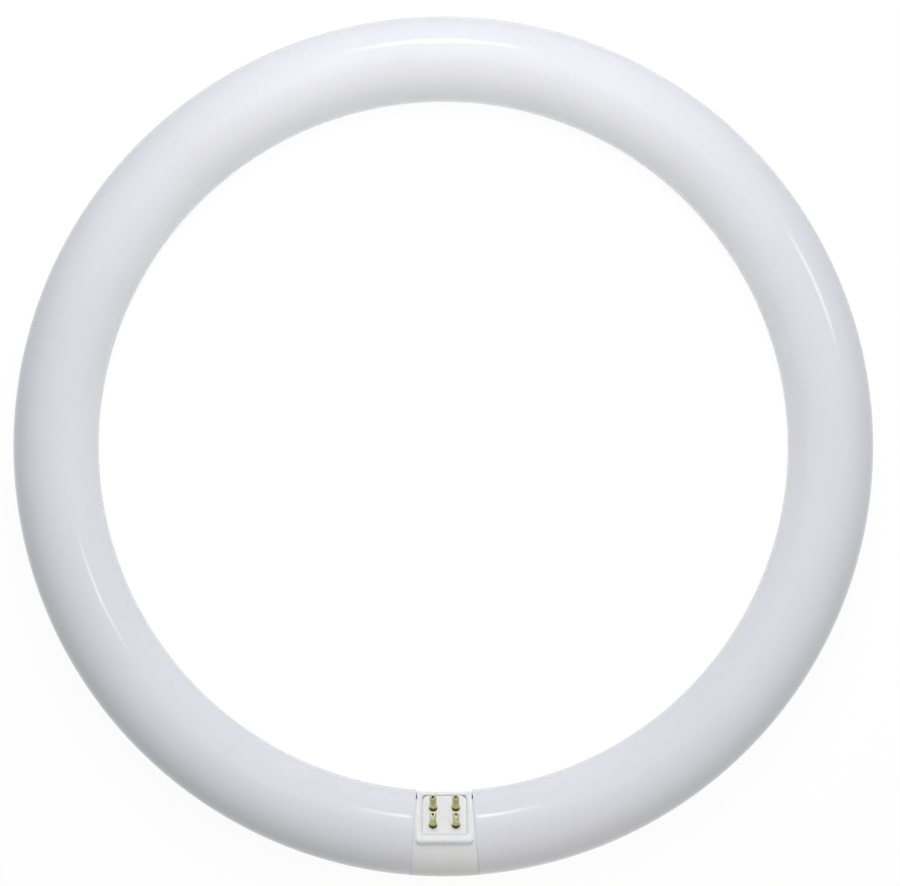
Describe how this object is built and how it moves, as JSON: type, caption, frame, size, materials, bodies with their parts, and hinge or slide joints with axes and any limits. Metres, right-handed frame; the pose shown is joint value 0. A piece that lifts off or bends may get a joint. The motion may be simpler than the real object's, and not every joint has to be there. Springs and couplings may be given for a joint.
{
  "type": "circular fluorescent tube",
  "caption": "Ring-shaped white coated glass lamp whose two ends meet in a plastic cap with slanted hollow contact pins.",
  "frame": {"origin": "centre of the ring, in the middle plane of the tube", "axes": "+Z out of the ring's plane on the side that the pins face; the cap is at -Y, and +X is to the right when the ring is seen from +Z with the cap nearest"},
  "size_m": [0.305, 0.305, 0.0316],
  "materials": {
    "coated_glass": "clear soda-lime glass with a white powder coating inside, glossy outside, opaque",
    "cap_plastic": "moulded white plastic, satin",
    "plate_plastic": "moulded white insulating plate, matt",
    "pin_brass": "drawn hollow brass, dulled",
    "lead_metal": "bare nickel-iron wire"
  },
  "bodies": {
    "root": {"glass_tube": "coated_glass", "cap_front_shell": "cap_plastic", "cap_back_shell": "cap_plastic", "pin_plate": "plate_plastic", "contact_pin_1": "pin_brass", "contact_pin_2": "pin_brass", "contact_pin_3": "pin_brass", "contact_pin_4": "pin_brass", "lead_wire_1": "lead_metal", "lead_wire_2": "lead_metal", "lead_wire_3": "lead_metal", "lead_wire_4": "lead_metal"}
  },
  "joints": []
}
